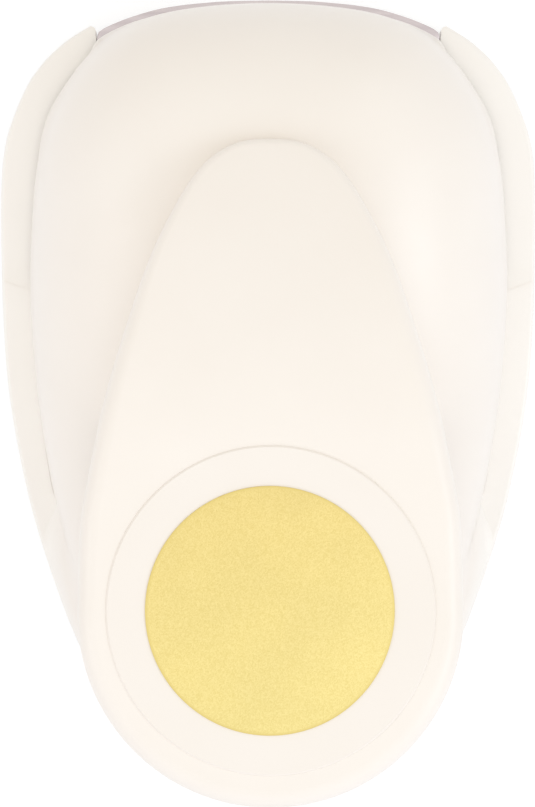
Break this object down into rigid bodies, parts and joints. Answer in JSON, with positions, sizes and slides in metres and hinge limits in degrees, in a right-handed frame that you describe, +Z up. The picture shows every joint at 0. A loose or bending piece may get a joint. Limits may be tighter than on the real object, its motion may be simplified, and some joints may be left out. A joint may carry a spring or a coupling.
{
  "type": "circle punch",
  "caption": "Desk punch for card: a long palm lever drives a round cutter through a steel die and drops a 2 inch disc out below.",
  "frame": {"origin": "on the desk under the middle of the punch, at the height of the soles of its feet", "axes": "+Z up, -Y towards the paper slot, +Y towards the palm rest, +X to the right of someone who looks along +Y"},
  "size_m": [0.1152, 0.1686, 0.0807],
  "materials": {
    "cream_plastic": "satin moulded plastic, warm cream white",
    "gold_foil": "matte metallised film, pale gold with a fine grain",
    "steel": "ground steel",
    "cast_aluminium": "as cast",
    "rubber": "matte"
  },
  "bodies": {
    "body": {"lower_housing": "cream_plastic", "upper_housing": "cream_plastic", "bottom_cover": "cream_plastic", "foot_front_right": "rubber", "foot_front_left": "rubber", "foot_rear_right": "rubber", "foot_rear_left": "rubber", "cover_screw_1": "steel", "cover_screw_2": "steel", "cover_screw_3": "steel", "cover_screw_4": "steel", "housing_screw_1": "steel", "housing_screw_2": "steel", "housing_screw_3": "steel", "housing_screw_4": "steel", "die_plate": "steel", "gap_shim": "steel", "guide_block": "cast_aluminium", "die_screw_1": "steel", "die_screw_2": "steel", "die_screw_3": "steel", "guide_post_right": "steel", "guide_post_left": "steel", "return_spring_right": "steel", "return_spring_left": "steel", "pivot_pin": "steel", "pin_clip_right": "steel", "pin_clip_left": "steel"},
    "lever": {"lever_shell": "cream_plastic", "lever_arm": "steel", "press_pin": "steel", "arm_screw_1": "steel", "arm_screw_2": "steel", "label_disc": "cream_plastic", "shape_label": "gold_foil"},
    "cutter": {"ram": "steel", "ram_bridge": "cast_aluminium", "ram_screw_1": "steel", "ram_screw_2": "steel"}
  },
  "joints": [
    {"name": "lever_pivot", "type": "hinge", "parent": "body", "child": "lever", "pos_m": [0, -0.06895, 0.039], "axis": [-1, 0, 0], "range_deg": [0, 12.3], "stiffness_Nm_per_rad": 2.7, "springref_deg": -7.45},
    {"name": "ram_slide", "type": "slide", "parent": "body", "child": "cutter", "axis": [0, 0, -1], "range_m": [0, 0.0041], "deforming": ["return_spring_right", "return_spring_left"]}
  ],
  "couplings": [
    {"joint": "ram_slide", "follows": "lever_pivot", "m_per_rad": 0.019}
  ]
}
